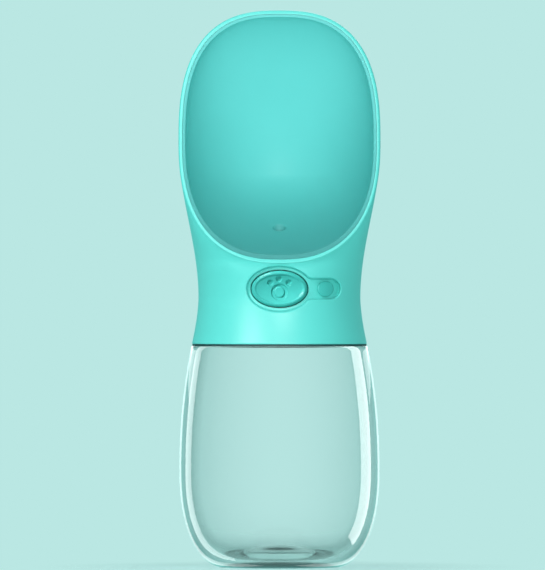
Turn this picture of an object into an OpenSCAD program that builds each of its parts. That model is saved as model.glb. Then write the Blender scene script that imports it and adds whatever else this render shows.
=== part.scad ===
// Dog travel water bottle: a clear round bottle under a scoop-shaped head. The head holds a
// drinking bowl, a push-button valve and a slide lock, and it screws off the bottle's neck.
// The origin is the bottom centre of the bottle, +Z is up, and the bowl and button face -Y.

/* [Bottle] */
// Radius of the clear bottle at its widest
belly_r = 37.5; // [37:0.1:42]
// Height of the widest part above the floor
belly_z = 36; // [28:1:44]
// Radius of the bottle's shoulder, where it meets the head
shoulder_r = 33; // [32.4:0.1:34.5]
// Height of the shoulder above the floor
shoulder_z = 83; // [75:0.5:120]
// Radius of the ring that the bottle stands on
foot_r = 20.6; // [18:0.1:24]
// Wall of the clear bottle
bottle_wall = 2.8; // [2:0.1:3.4]
// Wall of the bottle's shoulder
shoulder_t = 1.8; // [1.6:0.1:2.6]
// Radius of the hollow under the bottle
punt_r = 13.5; // [10:0.5:16]
// Rise of the hollow under the bottle
punt_h = 4.4; // [2:0.2:6]

/* [Neck and screw thread] */
// Outer radius of the bottle's neck, at the root of its thread
neck_r = 26; // [25.6:0.1:26.4]
// Radius of the bottle's mouth
mouth_r = 23.6; // [23.3:0.1:24]
// Height of the neck above the shoulder
neck_h = 9; // [8.5:0.1:9.6]
// Rise of the thread in one turn
thread_pitch = 3; // [2.8:0.1:3.2]
// Depth of the thread
thread_depth = 1.4; // [1.2:0.05:1.5]
// Turns of the thread
thread_turns = 1.75; // [1:0.25:1.75]
// Room between the two threads, measured along the radius
thread_gap = 0.3; // [0.25:0.01:0.4]
// Thickness of the soft ring between the bottle and the head
joint_ring_t = 0.54; // [0.4:0.02:0.56]
// Width of the soft ring between the bottle and the head
joint_ring_w = 1.8; // [1.4:0.1:3]
// Gap between the bottle's shoulder and the head's lower edge
joint_gap = 0.6; // [0.6:0.05:1]

/* [Head shell] */
// Radius of the head at its waist
waist_r = 30.35; // [30.2:0.05:31]
// Height of the waist above the head's lower edge
waist_rise = 17.4; // [16:0.1:20]
// Half of the width of the scoop's rim
rim_w = 37.7; // [36.5:0.1:40]
// Rise of the rim's lowest place above the recess round the button
rim_rise = 1; // [0.8:0.1:3]
// Length of the rim above its widest place
rim_up = 48.65; // [45:0.05:52]
// Length of the rim below its widest place
rim_down = 45.9; // [44:0.05:46.4]
// Distance that the rim leans back from its lowest to its highest point
rim_lean = 18; // [15:0.1:20]
// Radius that rounds the rim's outer edge
lip_r = 1.3; // [1:0.05:1.35]
// Depth of the head behind the bottle's axis
back_depth = 31; // [30.5:0.1:33]
// Wall of the head shell
shell_t = 1.4; // [1.2:0.05:1.6]

/* [Bowl] */
// Wall of the bowl
bowl_t = 1.1; // [0.9:0.05:1.4]
// Width of the bowl's flange at the lowest part of the rim
bowl_foot_t = 1.65; // [1.5:0.05:2.4]
// Depth of the bowl's deepest place behind the bottle's axis
bowl_back = 22; // [18:0.1:22.4]
// Radius of the port that lets water into the bowl
port_r = 2.3; // [1.6:0.05:2.5]
// Wall of the spigots and of the sleeve between valve and bowl
spigot_t = 1.1; // [0.9:0.05:1.3]

/* [Button] */
// Half of the button's width
button_w = 10.5; // [9.5:0.1:10.8]
// Half of the button's height
button_h = 6.8; // [6.2:0.1:6.9]
// Gap round the button
button_gap = 0.3; // [0.25:0.01:0.4]
// Border of the recess round the button
recess_border = 1.75; // [1.2:0.05:1.8]
// Depth of the recess at the waist
recess_depth = 1.75; // [1.2:0.05:1.8]
// Height of the button above the bottle's mouth
button_rise = 12.3; // [12.2:0.1:13]
// Distance that the button travels
button_travel = 3; // [2:0.1:3]
// Wall of the button's skirt
button_wall = 1.2; // [1:0.1:1.5]

/* [Lock] */
// Radius of the lock's knob
knob_r = 3; // [2.4:0.1:3.2]
// Sideways place of the knob
knob_x = 17.2; // [16.8:0.1:17.6]
// Angle that the lock slides round the neck
lock_swing = 5; // [3:0.5:5]
// Half of the height of the recess that the knob slides in
arm_h = 3.9; // [3.5:0.1:4.2]

/* [Valve] */
// Radius of the valve chamber's front part
chamber_r = 3.9; // [3.7:0.05:4]
// Wall of the valve chamber behind its seat
chamber_wall = 1.7; // [1.6:0.05:1.8]
// Radius of the valve stem
stem_r = 1.5; // [1.2:0.05:1.6]
// Running gap round the stem in its gland
stem_gap = 0.08; // [0.05:0.01:0.1]
// Radius of the hole in the valve seat
seat_r = 2.6; // [2.5:0.05:2.8]
// Radius of the soft disc that closes the valve
poppet_r = 3.8; // [3.5:0.05:3.85]
// Radius of the spring, at the middle of its wire
spring_r = 2.7; // [2.6:0.05:2.8]
// Diameter of the spring's wire
spring_wire = 0.6; // [0.45:0.05:0.6]
// Turns of the spring
spring_turns = 4.5; // [3.5:0.5:4.5]

/* [Hidden] */

mint = [0.30, 0.82, 0.77];
clear = [0.80, 0.95, 0.93, 0.45];
natural = [0.93, 0.94, 0.92];
silicone = [0.06, 0.24, 0.24];
steel = [0.72, 0.73, 0.75];

seat_fit = 0.05; // gap between faces that rest on each other
slip = 0.1;      // gap between fixed pieces that slip together

// ---- Heights
head_z = shoulder_z + joint_gap;
neck_z = shoulder_z + neck_h;
waist_z = head_z + waist_rise;
button_z = neck_z + button_rise;
rim_low = button_z + button_h + recess_border + rim_rise;
rim_z = rim_low + rim_down;
rim_top = rim_z + rim_up;

// ---- Head outline
rim_n_up = 2.63;                  // fullness of the rim's upper half
rim_n_low = 2.45;                 // fullness of the rim's lower half
flare_n = 1.6;                    // fullness of the flare below the waist
merge_share = 0.3;                // where the neck's side joins the rim, as a share of rim_down
merge_z = rim_z - merge_share * rim_down;
merge_w = rim_w * pow(1 - pow(merge_share, rim_n_low), 1 / rim_n_low);
merge_slope = rim_w / rim_down * pow(merge_share, rim_n_low - 1)
    * pow(1 - pow(merge_share, rim_n_low), 1 / rim_n_low - 1);
skirt_r = shoulder_r - 0.15;      // radius of the head's lower edge
back_z = rim_low + 16;            // where the back starts to close towards the tip
back_n = 1.5;                     // fullness of the back's curve to the tip
rim_side = 0.6;                   // straight side between the rim's round edge and the back
front_z = waist_z - 3;            // where the front's section starts to turn from round to squarer
front_n = 2;                      // how much squarer it has turned where the sides join the rim

function smooth(t) = let (u = min(max(t, 0), 1)) u * u * (3 - 2 * u);
function mix(a, b, t) = a + (b - a) * t;

// Point of an egg-shaped outline in the front view: half-width and height at angle a, -90 to 90.
function egg(a, w, up, down) =
    let (n = a >= 0 ? rim_n_up : rim_n_low, h = a >= 0 ? up : -down)
    [w * pow(cos(a), 2 / n), rim_z + h * pow(abs(sin(a)), 2 / n)];

// Half-width of the head's silhouette below the place where it joins the rim.
function neck_w(z) = z < waist_z
    ? waist_r + (skirt_r - waist_r) * pow((waist_z - z) / waist_rise, flare_n)
    : let (l = merge_z - waist_z, t = min((z - waist_z) / l, 1))
        mix(waist_r, merge_w, t * t * (3 - 2 * t)) + merge_slope * l * (t * t * t - t * t);

// The rim leans back as it rises, most at its foot, where it follows the round neck.
rim_front = -neck_w(rim_low) - lip_r;
lean_start = 0.5;                 // sets how fast the rim leans at its foot
lean_n = 0.5;
function lean(h) = pow(max(h, 0) + lean_start, lean_n) - pow(lean_start, lean_n);
function rim_y(z) = rim_front + rim_lean * lean(z - rim_low) / lean(rim_up + rim_down);

// Power of the front's section at a height: 2 is an ellipse, and more is squarer.
function front_power(z) = 2 + front_n * smooth((z - front_z) / (merge_z - front_z));

// Depth of the widest line, and of the back's middle line, for a skin set in by t.
function edge_y(z, t) = rim_y(z) + lip_r + t + rim_side;
function wide_y(z, t) = mix(0, edge_y(z, t), smooth((z - rim_low) / (merge_z - rim_low)));
function back_y(z, t) = z < waist_z ? neck_w(z) - t
    : z < back_z ? mix(waist_r, back_depth, smooth((z - waist_z) / (back_z - waist_z))) - t
    : let (top = rim_top - t, tip = edge_y(top, t), u = min((z - back_z) / (top - back_z), 1))
        tip + (back_depth - t - tip) * pow(1 - pow(u, back_n), 1 / back_n);

// ---- Bowl outline: the liner stands inside the shell's edge
bowl_out = shell_t + slip;
cavity_in = bowl_out + bowl_t;
bowl_deep_z = rim_z - 11.75;      // height of the bowl's deepest place
bowl_n = 1.5;                     // fullness of the bowl's floor
function bowl_up(k) = rim_up - (k == 0 ? bowl_out : cavity_in);
function bowl_down(k) = rim_down - bowl_out - (k == 0 ? 0 : bowl_foot_t);
function bowl_w(k) = rim_w - (k == 0 ? bowl_out : cavity_in);
function bowl_max(k) = bowl_back + (k == 0 ? bowl_t : 0);
function bowl_floor(z, k) =
    let (top = rim_z + bowl_up(k), low = rim_z - bowl_down(k), end = z > bowl_deep_z ? top : low,
        u = min((z - bowl_deep_z) / (end - bowl_deep_z), 1), y = rim_y(end))
    y + (bowl_max(k) - y) * pow(1 - pow(u, bowl_n), 1 / bowl_n);
// Height at which the bowl's lower floor passes the depth y.
function floor_z(y, k) =
    let (low = rim_z - bowl_down(k), y0 = rim_y(low), s = (y - y0) / (bowl_max(k) - y0))
    bowl_deep_z - (bowl_deep_z - low) * pow(1 - pow(s, bowl_n), 1 / bowl_n);

// ---- A closed solid between two grids of points with the same rows and columns
function tri2(a, b, c, d) = [for (t = [[a, b, c], [a, c, d]])
    if (t[0] != t[1] && t[1] != t[2] && t[2] != t[0]) t];

module skin_solid(outer, inner, column, side_from, foot, top = false) {
    rows = len(outer) - 1;
    cols = len(outer[0]) - 1;
    size = (rows + 1) * (cols + 1);
    id = function(k, i, j) k * size + i * (cols + 1) + column(i, j);
    points = [for (g = [outer, inner]) for (row = g) for (p = row) p];
    // Below side_from, the columns that meet in one seam have no faces between them.
    open = function(i, j) i >= side_from || column(i, j) != column(i, j + 1);
    faces = [
        for (i = [0:rows - 1]) for (j = [0:cols - 1]) if (open(i, j))
            for (t = tri2(id(0, i, j), id(0, i + 1, j), id(0, i + 1, j + 1), id(0, i, j + 1))) t,
        for (i = [0:rows - 1]) for (j = [0:cols - 1]) if (open(i, j))
            for (t = tri2(id(1, i, j), id(1, i, j + 1), id(1, i + 1, j + 1), id(1, i + 1, j))) t,
        for (i = [side_from:rows - 1])
            for (t = tri2(id(0, i, 0), id(1, i, 0), id(1, i + 1, 0), id(0, i + 1, 0))) t,
        for (i = [side_from:rows - 1])
            for (t = tri2(id(0, i, cols), id(0, i + 1, cols), id(1, i + 1, cols), id(1, i, cols))) t,
        if (foot) for (j = [0:cols - 1])
            for (t = tri2(id(0, 0, j), id(0, 0, j + 1), id(1, 0, j + 1), id(1, 0, j))) t,
        if (top) for (j = [0:cols - 1])
            for (t = tri2(id(0, rows, j), id(1, rows, j), id(1, rows, j + 1), id(0, rows, j + 1))) t
    ];
    polyhedron(points, faces, convexity = 8);
}

// ---- Grid of the head shell. Half a row has columns round the lip, then to the widest line, and
// then to the back. Between lip and widest line, a row turns from round to squarer as it rises, so
// that the front flares smoothly from the round neck to the rim.
lip_cols = 3;
front_cols = 9;
back_cols = 11;
half_cols = lip_cols + front_cols + back_cols;
low_rows = 9;
all_rows = 33;

shell_column = function(i, j)
    let (m = min(j, 2 * half_cols - j))
    i < low_rows ? (m <= lip_cols ? lip_cols : j)
    : i == low_rows ? (m <= lip_cols ? m : j)
    : i == all_rows ? min(m, lip_cols + front_cols) : j;

function shell_point(i, j, t, lip) =
    let (m = min(j, 2 * half_cols - j), side = j <= half_cols ? 1 : -1, low = i < low_rows,
        a = low ? -90 : -90 + 180 * (i - low_rows) / (all_rows - low_rows),
        b = egg(a, rim_w - t, rim_up - t, rim_down - t),
        e = egg(a, rim_w - t - lip, rim_up - t - lip, rim_down - t - lip),
        z = low ? mix(head_z, b[1], i / low_rows) : b[1],
        w = low || z < merge_z ? max(neck_w(z) - t, b[0]) : b[0],
        y0 = low ? t - neck_w(z) : rim_y(z) + lip_r + t,
        yw = wide_y(z, t),
        share = low ? 0 : w > 0 ? b[0] / w : 1,
        n = front_power(z))
    m < lip_cols
        ? let (f = 90 * m / lip_cols, g = lip > 0 ? 1 - cos(f) : m / lip_cols,
            ze = mix(e[1], b[1], sin(f)))
            [side * mix(e[0], b[0], sin(f)), rim_y(ze) + g * (lip_r + t), ze]
    : m <= lip_cols + front_cols
        ? let (g = (m - lip_cols) / front_cols, start = asin(pow(share, n / 2)), f = mix(start, 90, g),
            back = share > 0.999 ? 1 - g : cos(f) / cos(start))
            [side * w * (share > 0.999 ? 1 : pow(sin(f), 2 / n)), yw - (yw - y0) * pow(back, 2 / n), z]
    : let (g = 90 * (m - lip_cols - front_cols) / back_cols)
        [side * w * cos(g), yw + (back_y(z, t) - yw) * sin(g), z];

function shell_grid(t, lip) =
    [for (i = [0:all_rows]) [for (j = [0:2 * half_cols]) shell_point(i, j, t, lip)]];

// ---- Grid of the bowl
bowl_rows = 26;
bowl_cols = 28;
bowl_column = function(i, j) i == 0 || i == bowl_rows ? 0 : j;
function bowl_grid(k) = [for (i = [0:bowl_rows])
    let (e = egg(-90 + 180 * i / bowl_rows, bowl_w(k), bowl_up(k), bowl_down(k)), y = rim_y(e[1]),
        d = max(bowl_floor(e[1], k) - y, 0))
    [for (j = [0:bowl_cols]) let (b = 180 * j / bowl_cols) [e[0] * cos(b), y + d * sin(b), e[1]]]];

// ---- Small helpers
module ring(r_out, r_in, z0, z1) {
    translate([0, 0, z0]) difference() {
        cylinder(r = r_out, h = z1 - z0, $fn = 96);
        translate([0, 0, -1]) cylinder(r = r_in, h = z1 - z0 + 2, $fn = 96);
    }
}
// A round bar along Y at the height of the valve, from y0 to y1.
module bar(r, y0, y1) {
    translate([0, y0, button_z]) rotate([-90, 0, 0]) cylinder(r = r, h = y1 - y0, $fn = 64);
}
module hoop(big_r, small_r) {
    rotate_extrude($fn = 72) translate([big_r, 0]) circle(r = small_r, $fn = 24);
}
// Points of an oval, and of the recess that joins the oval to a round-ended arm.
function oval(a, b, n = 64) = [for (i = [0:n - 1]) [a * cos(360 * i / n), b * sin(360 * i / n)]];
// A flat outline, drawn in X and height about the button, pushed back along Y.
module plate(y0, y1) {
    translate([0, y1, button_z]) rotate([90, 0, 0]) linear_extrude(y1 - y0) children();
}
// A piece of a ring round the bottle's axis: angles are measured from the front towards +X.
module arc_block(r0, r1, a0, a1, h0, h1) {
    rotate([0, 0, a0 - 90]) rotate_extrude(angle = a1 - a0, $fn = 128)
        translate([r0, button_z + h0]) square([r1 - r0, h1 - h0]);
}
// The ridge of a right-hand thread: a helix with a four-sided section.
module thread_ridge(r_root, r_crest, z0, turns) {
    steps = round(turns * 32);
    w_root = thread_pitch * 0.25;
    w_crest = thread_pitch * 0.12;
    points = [for (i = [0:steps]) let (a = 360 * turns * i / steps, z = z0 + thread_pitch * a / 360)
        for (p = [[r_root, -w_root], [r_crest, -w_crest], [r_crest, w_crest], [r_root, w_root]])
            [p[0] * cos(a), p[0] * sin(a), z + p[1]]];
    outward = r_crest > r_root;
    quad = function(a, b, c, d) outward ? [[c, b, a], [d, c, a]] : [[a, b, c], [a, c, d]];
    faces = [
        for (i = [0:steps - 1]) for (k = [0:3])
            for (t = quad(4 * i + k, 4 * i + 4 + k, 4 * i + 4 + (k + 1) % 4, 4 * i + (k + 1) % 4)) t,
        for (t = quad(0, 1, 2, 3)) t,
        for (t = quad(4 * steps + 3, 4 * steps + 2, 4 * steps + 1, 4 * steps)) t
    ];
    polyhedron(points, faces, convexity = 8);
}

// ---- Bottle
belly_n_up = 2.1;                 // fullness of the bottle's side above its widest part
belly_n_low = 2.2;                // fullness of the bottle's side below its widest part
base_n = 2.1;
function belly_up(z) = belly_r - (belly_r - shoulder_r)
    * pow((z - belly_z) / (shoulder_z - belly_z), belly_n_up);
function belly_low(z) = foot_r + (belly_r - foot_r)
    * pow(1 - pow((belly_z - z) / belly_z, belly_n_low), 1 / base_n);
floor_t = bottle_wall;
punt_top = punt_h + floor_t;
shoulder_bend = 1.5;              // height of the bend between the inner side and the shoulder
throat_w = 2.5;                   // width of the slope between the shoulder and the mouth, inside
punt_spread = 3;                  // how far the hollow's inner side reaches past its outer side
module bottle_outside() {
    rotate_extrude($fn = 128) polygon(concat(
        [for (i = [6:-1:0]) let (a = 90 * i / 6) [punt_r * cos(a), punt_h * sin(a)]],
        [[foot_r, 0]],
        [for (i = [11:-1:1]) let (z = belly_z * (1 - sin(90 * i / 12))) [belly_low(z), z]],
        [for (i = [0:12]) let (z = mix(belly_z, shoulder_z, i / 12)) [belly_up(z), z]],
        [[neck_r, shoulder_z], [neck_r, neck_z], [0, neck_z]]));
}
module bottle_inside() {
    deep = belly_z - floor_t;
    rotate_extrude($fn = 128) polygon(concat(
        [for (i = [0:6]) let (a = 90 * i / 6)
            [(punt_r + punt_spread) * sin(a), floor_t + (punt_top - floor_t) * cos(a) * cos(a)]],
        [for (i = [11:-1:0]) let (s = sin(90 * i / 12), z = belly_z - deep * s)
            [belly_low(belly_z * (1 - s)) - bottle_wall, z]],
        [for (i = [1:10]) let (z = mix(belly_z, shoulder_z - shoulder_t - shoulder_bend, i / 10))
            [belly_up(z) - bottle_wall, z]],
        [[mouth_r + throat_w, shoulder_z - shoulder_t], [mouth_r, shoulder_z - shoulder_t + throat_w / 2],
            [mouth_r, neck_z + 1], [0, neck_z + 1]]));
}
module bottle() {
    color(clear) union() {
        difference() {
            bottle_outside();
            bottle_inside();
        }
        thread_ridge(neck_r - 0.6, neck_r + thread_depth, shoulder_z + 2.2, thread_turns);
    }
}
joint_ring_inset = 0.3;           // how far the ring stands back from the shoulder's edge
joint_ring_lift = 0.02;
module joint_ring() {
    r = shoulder_r - joint_ring_inset;
    z = shoulder_z + joint_ring_lift;
    color(silicone) ring(r, r - joint_ring_w, z, z + joint_ring_t);
}

// ---- Head: shell, bowl and the collar that carries the female thread
pad_t = 3.45;                     // depth of the thick place behind the button
pad_rows = 6;
pad_cols = 24;
pad_r = waist_r - pad_t;
pad_from = -42;
pad_to = 60;
recess_r = waist_r - recess_depth;
pad_low = -9.6;                   // the pad's lower and upper edge, from the button's middle
pad_high = 9.4;
knob_angle = asin(knob_x / waist_r);
slot_angle = 3;                   // half of the angle that the lock's neck takes up
arm_end = waist_r * sin(knob_angle + lock_swing) + knob_r + 0.4;
frame_screw_spots = [[-15.2, 0], [12.8, 6.9], [12.8, -6.4]];
frame_screw_r = 0.8;

recess_w = button_w + recess_border;
recess_h = button_h + recess_border;
arm_fillet = 3.2;                 // radius of the step between the recess's oval and its arm
// The angle on the oval where the fillet starts: its circle touches the oval and the arm's side.
function fillet_rise(a) = let (l = norm([recess_h * cos(a), recess_w * sin(a)]))
    recess_h * sin(a) + arm_fillet * recess_w * sin(a) / l;
function fillet_angle(low, high, n) = let (m = (low + high) / 2)
    n == 0 ? m : fillet_rise(m) < arm_h + arm_fillet
        ? fillet_angle(m, high, n - 1) : fillet_angle(low, m, n - 1);
module arm_step() {
    a = fillet_angle(1, 89, 24);
    l = norm([recess_h * cos(a), recess_w * sin(a)]);
    touch = [recess_w * cos(a), recess_h * sin(a)];
    centre = touch + arm_fillet * [recess_h * cos(a), recess_w * sin(a)] / l;
    from = atan2(touch[1] - centre[1], touch[0] - centre[0]) + 360;
    arc = [for (i = [0:8]) let (b = mix(from, 270, i / 8)) centre + arm_fillet * [cos(b), sin(b)]];
    polygon(concat([[0, 0], [0, touch[1]]], arc, [[centre[0], 0]]));
}
// The pad lies between the middle of the shell's wall and a cylinder about the bottle's axis.
function pad_grid(out) = [for (i = [0:pad_rows]) let (z = button_z + mix(pad_low, pad_high, i / pad_rows),
        w = neck_w(z) - shell_t / 2, n = front_power(z))
    [for (j = [0:pad_cols]) let (a = mix(pad_from, pad_to, j / pad_cols),
            r = out ? w / pow(pow(abs(sin(a)), n) + pow(cos(a), n), 1 / n) : pad_r)
        [r * sin(a), -r * cos(a), z]]];
module recess_outline() {
    polygon(oval(recess_w, recess_h));
    arm_step();
    mirror([0, 1]) arm_step();
    translate([0, -arm_h]) square([arm_end - arm_h, 2 * arm_h]);
    translate([arm_end - arm_h, 0]) circle(r = arm_h, $fn = 48);
}
module head_shell() {
    color(mint) difference() {
        union() {
            skin_solid(shell_grid(0, lip_r), shell_grid(shell_t, 0), shell_column, low_rows, true);
            skin_solid(pad_grid(true), pad_grid(false), function(i, j) j, 0, true, true);
        }
        difference() {
            plate(-waist_r - 3, -4) recess_outline();
            head_core(recess_r);
        }
        plate(-waist_r - 3, -4) polygon(oval(button_w + button_gap, button_h + button_gap));
        arc_block(pad_r - 1, recess_r + 0.2, knob_angle - slot_angle - 0.5,
            knob_angle + slot_angle + lock_swing + 0.5, -1.6, 1.6);
        for (s = frame_screw_spots)
            translate([s[0], screw_seat(s) - 2.4, button_z + s[1]])
                rotate([-90, 0, 0]) cylinder(r = frame_screw_r + seat_fit, h = 6, $fn = 24);
    }
}
// Depth of the pad's inner face at a screw.
function screw_seat(s) = -sqrt(pad_r * pad_r - s[0] * s[0]);

// The bowl, its flange and the spigot under its port
outlet_y = 1.5;                   // place of the valve's outlet behind the bottle's axis
port_z = floor_z(outlet_y, 1);
port_mid = (port_z + floor_z(outlet_y, 0)) / 2;
port_slope = atan((floor_z(outlet_y + 1, 1) - floor_z(outlet_y - 1, 1)) / 2);
spigot_r = port_r + spigot_t;
nipple_rise = 9.7;                // height of the valve's outlet nipple above the valve's middle
nipple_top = button_z + nipple_rise;
spigot_low = nipple_top + 1;
module bowl_liner() {
    color(mint) difference() {
        union() {
            skin_solid(bowl_grid(0), bowl_grid(1), bowl_column, 0, false);
            intersection() {
                translate([0, outlet_y, spigot_low]) cylinder(r = spigot_r, h = 30, $fn = 48);
                translate([0, outlet_y, port_mid]) rotate([port_slope, 0, 0])
                    translate([-10, -20, -40]) cube([20, 40, 40]);
            }
        }
        translate([0, outlet_y, spigot_low - 1])
            cylinder(r = port_r, h = port_z + 6 - spigot_low, $fn = 48);
    }
}

collar_r = neck_r + thread_depth + thread_gap;
collar_wall = 1.15;
collar_z = head_z + 0.15;
flange_t = 1.25;
collar_fit = 0.25;                // room between the collar's flanges and the shell
ledge_z = neck_z + 1.3;
ledge_t = 1.2;
ledge_r = 16.5;
flange_r = neck_w(collar_z + flange_t) - shell_t - collar_fit;
ledge_edge_r = neck_w(ledge_z + ledge_t) - shell_t - collar_fit;
disc_r = 23;
carrier_screw_r = 1;
carrier_screw_ring = 20.9;
module thread_collar() {
    color(natural) difference() {
        union() {
            rotate_extrude($fn = 96) polygon([
                [collar_r, collar_z], [flange_r, collar_z], [flange_r, collar_z + flange_t],
                [collar_r + collar_wall, collar_z + flange_t], [collar_r + collar_wall, ledge_z],
                [ledge_edge_r, ledge_z], [ledge_edge_r, ledge_z + ledge_t], [ledge_r, ledge_z + ledge_t],
                [ledge_r, ledge_z], [collar_r, ledge_z]]);
            thread_ridge(collar_r + 0.6, neck_r + 0.35, shoulder_z + 2.2 + thread_pitch / 2, thread_turns);
            for (a = [45:90:315]) rotate([0, 0, a]) translate([carrier_screw_ring, 0, ledge_z - 2.8])
                cylinder(r = 1.9, h = 3.4, $fn = 32);
        }
        for (a = [45:90:315]) rotate([0, 0, a]) translate([carrier_screw_ring, 0, ledge_z - 1.9])
            cylinder(r = carrier_screw_r + seat_fit, h = 5, $fn = 24);
    }
}
module mouth_gasket() {
    color(silicone) ring(neck_r + 0.2, mouth_r + 0.1, neck_z + seat_fit, ledge_z - seat_fit);
}

// ---- Valve: a chamber along Y on a round carrier, with everything placed from its seat
seat_y = outlet_y + port_r + 0.4;
seat_len = 2.5;
poppet_y = seat_y + seat_len + seat_fit;
poppet_t = 1.8;
retainer_y = poppet_y + poppet_t + seat_fit;
retainer_t = 1.2;
clip_y = retainer_y + retainer_t + seat_fit;
clip_t = 0.6;
inlet_r = 2.5;
inlet_y = poppet_y + inlet_r + 2;
cap_y = inlet_y + inlet_r + 0.5;
spring_seat_y = cap_y + 2.2;
chamber_end = cap_y + 3.05;
gland_y = -12;
gland_len = 4;
rear_r = chamber_r + 0.4;
tube_r = rear_r + chamber_wall;
disc_z = ledge_z + ledge_t + seat_fit;
disc_top = disc_z + 1.55;
pin_r = stem_r - 0.4;
gland_pocket_r = 3.2;
oring_groove_r = 18;
oring_wire = 0.48;
module valve_carrier() {
    color(natural) difference() {
        union() {
            translate([0, 0, disc_z]) cylinder(r = disc_r, h = disc_top - disc_z, $fn = 96);
            bar(tube_r, gland_y - gland_len, chamber_end);
            translate([-4, gland_y - gland_len, disc_top - 0.5])
                cube([8, chamber_end - gland_y + gland_len, button_z - disc_top - 2]);
            translate([0, outlet_y, button_z]) cylinder(r = spigot_r, h = nipple_top - button_z, $fn = 48);
        }
        bar(chamber_r, gland_y, seat_y + 1);
        bar(rear_r, seat_y, chamber_end + 1);
        bar(stem_r + stem_gap, gland_y - gland_len - 1, gland_y + 1);
        bar(gland_pocket_r, gland_y - gland_len - 1, gland_y - 1.5);
        difference() {
            bar(rear_r + 1.15, chamber_end - 0.95, chamber_end + 1);
            bar(rear_r + 0.1, chamber_end - 2, chamber_end + 2);
        }
        translate([0, outlet_y, button_z]) cylinder(r = port_r, h = nipple_top - button_z + 1, $fn = 48);
        translate([0, inlet_y, disc_z - 1]) cylinder(r = inlet_r, h = button_z - disc_z + 1, $fn = 48);
        ring(oring_groove_r + oring_wire + seat_fit, oring_groove_r - oring_wire - seat_fit,
            disc_z - 1, disc_z + 2 * oring_wire);
        for (a = [45:90:315]) rotate([0, 0, a]) translate([carrier_screw_ring, 0, disc_z - 1])
            cylinder(r = carrier_screw_r + slip, h = 5, $fn = 24);
    }
}
module carrier_oring() {
    color(silicone) translate([0, 0, disc_z + oring_wire - seat_fit / 2]) hoop(oring_groove_r, oring_wire);
}
// A pan-head screw that points down; its head rests at z = 0.
module screw(r, len, head_r, head_t) {
    difference() {
        union() {
            translate([0, 0, -len]) cylinder(r = r, h = len + 0.1, $fn = 24);
            cylinder(r = head_r, h = head_t, $fn = 32);
        }
        for (a = [0, 90]) rotate([0, 0, a])
            translate([-head_r * 0.6, -head_r * 0.13, head_t * 0.5])
                cube([head_r * 1.2, head_r * 0.26, head_t]);
    }
}
module carrier_screws() {
    color(steel) for (a = [45:90:315]) rotate([0, 0, a])
        translate([carrier_screw_ring, 0, disc_top + 0.02]) screw(carrier_screw_r, 4.4, 1.8, 1);
}
module valve_seat() {
    color(natural) difference() {
        bar(rear_r - 0.02, seat_y + 0.02, seat_y + seat_len);
        bar(seat_r, seat_y - 1, seat_y + seat_len + 1);
    }
}
module poppet_seal() {
    color(silicone) difference() {
        bar(poppet_r, poppet_y, poppet_y + poppet_t);
        bar(pin_r + seat_fit, poppet_y - 1, poppet_y + poppet_t + 1);
    }
}
module poppet_retainer() {
    color(natural) difference() {
        bar(poppet_r - 0.6, retainer_y, retainer_y + retainer_t);
        bar(pin_r + seat_fit, retainer_y - 1, retainer_y + retainer_t + 1);
    }
}
module stem_clip() {
    color(steel) difference() {
        bar(stem_r + 0.5, clip_y, clip_y + clip_t);
        bar(pin_r - 0.15, clip_y - 1, clip_y + clip_t + 1);
        translate([-0.45, clip_y - 1, button_z]) cube([0.9, 3, 5]);
    }
}
button_boss_y = -waist_r + 3.4;   // front end of the stem, inside the button's boss
module valve_stem() {
    color(natural) difference() {
        union() {
            bar(stem_r, button_boss_y, poppet_y - 1);
            bar(seat_r - 0.3, poppet_y - 1.4, poppet_y - seat_fit);
            bar(pin_r, poppet_y - 0.1, clip_y + clip_t + 0.55);
        }
        difference() {
            bar(pin_r + 1, clip_y - 0.05, clip_y + clip_t + 0.05);
            bar(pin_r - 0.2, clip_y - 1, clip_y + clip_t + 1);
        }
    }
}
module stem_oring() {
    gap = gland_pocket_r - stem_r;
    color(silicone) translate([0, gland_y - 1.5 - gap / 2, button_z]) rotate([-90, 0, 0])
        hoop(stem_r + gap / 2, gap / 2 - seat_fit);
}
module gland_bush() {
    front = gland_y - gland_len;
    color(natural) difference() {
        union() {
            bar(tube_r - 1, front - 1.1, front - seat_fit);
            bar(gland_pocket_r - seat_fit, front - 0.6, front + 0.7);
        }
        bar(stem_r + stem_gap, front - 3, front + 3);
    }
}
module valve_spring() {
    start = clip_y - seat_fit + 0.08 + spring_wire / 2;
    end = spring_seat_y - seat_fit - spring_wire / 2;
    per_turn = 16;
    sides = 6;
    steps = round(spring_turns * per_turn);
    points = [for (i = [0:steps]) let (a = 360 * i / per_turn, y = mix(start, end, i / steps))
        for (k = [0:sides - 1]) let (b = 360 * k / sides, r = spring_r + spring_wire / 2 * cos(b))
            [r * cos(a), y + spring_wire / 2 * sin(b), button_z + r * sin(a)]];
    faces = [
        for (i = [0:steps - 1]) for (k = [0:sides - 1])
            for (t = let (n = (k + 1) % sides, p = sides * i, q = sides * (i + 1))
                [[p + k, p + n, q + n], [p + k, q + n, q + k]]) t,
        [for (k = [sides - 1:-1:0]) k],
        [for (k = [0:sides - 1]) sides * steps + k]
    ];
    color(steel) polyhedron(points, faces, convexity = 8);
}
module end_cap() {
    color(natural) difference() {
        union() {
            bar(rear_r - slip / 2, cap_y, chamber_end + 0.2);
            bar(tube_r, chamber_end + seat_fit, chamber_end + 1.6);
        }
        bar(poppet_r - 0.4, cap_y - 1, spring_seat_y);
    }
}
module end_oring() {
    color(silicone) translate([0, chamber_end - 0.45, button_z]) rotate([-90, 0, 0])
        hoop(rear_r + 0.62, 0.47);
}
module outlet_sleeve() {
    color(silicone) translate([0, outlet_y, 0])
        ring(spigot_r + seat_fit + spigot_t, spigot_r + seat_fit, nipple_top - 2.6, spigot_low + 4);
}

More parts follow.
